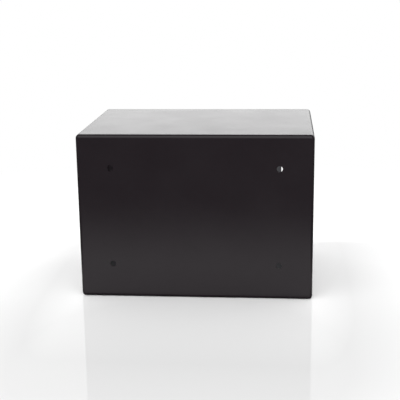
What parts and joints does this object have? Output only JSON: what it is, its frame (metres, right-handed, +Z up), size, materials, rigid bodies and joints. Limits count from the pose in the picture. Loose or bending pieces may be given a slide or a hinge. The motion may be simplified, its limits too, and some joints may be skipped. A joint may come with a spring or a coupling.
{
  "type": "home safe",
  "caption": "Black steel home safe seen from behind, door ajar: plain rear wall with corner fixing holes, keypad, turning knob and sliding bolts.",
  "frame": {"origin": "centre of the cabinet's underside", "axes": "+Z up; the rear wall with the four fixing holes faces +Y; the door is on the -Y side and hinges at +X"},
  "size_m": [0.35, 0.3862, 0.25],
  "materials": {
    "black_powder_coat": "satin powder coat with a fine grain",
    "grey_powder_coat": "satin powder coat",
    "zinc_steel": "zinc plated",
    "chrome": "polished",
    "brass": "turned",
    "black_plastic": "fine matt texture",
    "key_plastic": "matt",
    "lens_plastic": "clear, glossy",
    "circuit_board": "solder mask",
    "grey_rubber": "matt",
    "copper_winding": "enamelled wire",
    "cell_wrap": "plain shrink wrap",
    "red_plastic": "glossy",
    "lead_jacket": "smooth",
    "grey_felt": "needled felt"
  },
  "bodies": {
    "cabinet": {"body_wrap": "black_powder_coat", "back_panel": "black_powder_coat", "door_frame": "black_powder_coat", "hinge_plates": "zinc_steel", "pivot_bushes": "brass", "floor_mat": "grey_felt"},
    "door": {"door_plate": "black_powder_coat", "door_pan": "grey_powder_coat", "pivot_pin_upper": "zinc_steel", "pivot_pin_lower": "zinc_steel", "keypad_housing": "black_plastic", "indicator_lenses": "lens_plastic", "keypad_board": "circuit_board", "keypad_rubber_mat": "grey_rubber", "housing_screws": "zinc_steel", "shaft_bush": "brass", "guide_studs": "zinc_steel", "guide_clips": "zinc_steel", "solenoid_frame": "zinc_steel", "solenoid_coil": "copper_winding", "solenoid_screws": "zinc_steel", "solenoid_spring": "zinc_steel", "lock_barrel": "brass", "lock_nut": "zinc_steel", "cover_rivet": "zinc_steel", "inner_cover": "grey_powder_coat", "inner_cover_screws": "zinc_steel", "battery_tray": "black_plastic", "batteries": "cell_wrap", "battery_contacts": "zinc_steel", "control_board": "circuit_board", "keypad_cable": "lead_jacket", "power_leads": "lead_jacket"},
    "bolt_work": {"bolt_carrier": "zinc_steel", "bolt_lower": "chrome", "bolt_upper": "chrome", "bolt_screws": "zinc_steel"},
    "knob_set": {"knob": "chrome", "knob_shaft": "zinc_steel", "knob_grub_screw": "zinc_steel", "crank": "zinc_steel", "crank_circlip": "zinc_steel"},
    "plunger": {"solenoid_plunger": "zinc_steel"},
    "lock": {"lock_plug": "brass", "lock_cam": "zinc_steel"},
    "keyhole_cover": {"keyhole_cover": "grey_powder_coat"},
    "battery_lid": {"battery_lid": "black_plastic"},
    "reset_button": {"reset_button": "red_plastic"},
    "key_1": {"key_1": "key_plastic"},
    "key_2": {"key_2": "key_plastic"},
    "key_3": {"key_3": "key_plastic"},
    "key_4": {"key_4": "key_plastic"},
    "key_5": {"key_5": "key_plastic"},
    "key_6": {"key_6": "key_plastic"},
    "key_7": {"key_7": "key_plastic"},
    "key_8": {"key_8": "key_plastic"},
    "key_9": {"key_9": "key_plastic"},
    "key_star": {"key_star": "key_plastic"},
    "key_0": {"key_0": "key_plastic"},
    "key_hash": {"key_hash": "key_plastic"}
  },
  "joints": [
    {"name": "door_hinge", "type": "hinge", "parent": "cabinet", "child": "door", "pos_m": [0.135, -0.117, 0.125], "axis": [0, 0, 1], "range_deg": [-28.5, 81.5]},
    {"name": "knob_turn", "type": "hinge", "parent": "door", "child": "knob_set", "pos_m": [0.06412, -0.16459, 0.11], "axis": [0.4772, -0.8788, 0], "range_deg": [0, 60]},
    {"name": "bolt_throw", "type": "slide", "parent": "door", "child": "bolt_work", "axis": [-0.8788, -0.4772, 0], "range_m": [0, 0.018]},
    {"name": "plunger_slide", "type": "slide", "parent": "door", "child": "plunger", "axis": [0, 0, -1], "range_m": [0, 0.005], "stiffness_N_per_m": 60, "springref_m": 0.005, "deforming": ["solenoid_spring"]},
    {"name": "override_key_turn", "type": "hinge", "parent": "door", "child": "lock", "pos_m": [0.06412, -0.16459, 0.1935], "axis": [-0.4772, 0.8788, 0], "range_deg": [-90, 0]},
    {"name": "keyhole_cover_swing", "type": "hinge", "parent": "door", "child": "keyhole_cover", "pos_m": [0.06521, -0.16661, 0.2095], "axis": [-0.4772, 0.8788, 0], "range_deg": [-100, 100]},
    {"name": "battery_lid_slide", "type": "slide", "parent": "door", "child": "battery_lid", "axis": [-0.8788, -0.4772, 0], "range_m": [0, 0.06]},
    {"name": "reset_button_press", "type": "slide", "parent": "door", "child": "reset_button", "axis": [0.4772, -0.8788, 0], "range_m": [0, 0.0015], "stiffness_N_per_m": 400},
    {"name": "key_1_press", "type": "slide", "parent": "door", "child": "key_1", "axis": [-0.4772, 0.8788, 0], "range_m": [0, 0.0006], "stiffness_N_per_m": 800},
    {"name": "key_2_press", "type": "slide", "parent": "door", "child": "key_2", "axis": [-0.4772, 0.8788, 0], "range_m": [0, 0.0006], "stiffness_N_per_m": 800},
    {"name": "key_3_press", "type": "slide", "parent": "door", "child": "key_3", "axis": [-0.4772, 0.8788, 0], "range_m": [0, 0.0006], "stiffness_N_per_m": 800},
    {"name": "key_4_press", "type": "slide", "parent": "door", "child": "key_4", "axis": [-0.4772, 0.8788, 0], "range_m": [0, 0.0006], "stiffness_N_per_m": 800},
    {"name": "key_5_press", "type": "slide", "parent": "door", "child": "key_5", "axis": [-0.4772, 0.8788, 0], "range_m": [0, 0.0006], "stiffness_N_per_m": 800},
    {"name": "key_6_press", "type": "slide", "parent": "door", "child": "key_6", "axis": [-0.4772, 0.8788, 0], "range_m": [0, 0.0006], "stiffness_N_per_m": 800},
    {"name": "key_7_press", "type": "slide", "parent": "door", "child": "key_7", "axis": [-0.4772, 0.8788, 0], "range_m": [0, 0.0006], "stiffness_N_per_m": 800},
    {"name": "key_8_press", "type": "slide", "parent": "door", "child": "key_8", "axis": [-0.4772, 0.8788, 0], "range_m": [0, 0.0006], "stiffness_N_per_m": 800},
    {"name": "key_9_press", "type": "slide", "parent": "door", "child": "key_9", "axis": [-0.4772, 0.8788, 0], "range_m": [0, 0.0006], "stiffness_N_per_m": 800},
    {"name": "key_star_press", "type": "slide", "parent": "door", "child": "key_star", "axis": [-0.4772, 0.8788, 0], "range_m": [0, 0.0006], "stiffness_N_per_m": 800},
    {"name": "key_0_press", "type": "slide", "parent": "door", "child": "key_0", "axis": [-0.4772, 0.8788, 0], "range_m": [0, 0.0006], "stiffness_N_per_m": 800},
    {"name": "key_hash_press", "type": "slide", "parent": "door", "child": "key_hash", "axis": [-0.4772, 0.8788, 0], "range_m": [0, 0.0006], "stiffness_N_per_m": 800}
  ],
  "couplings": [
    {"joint": "knob_turn", "follows": "bolt_throw", "rad_per_m": 58.177}
  ]
}
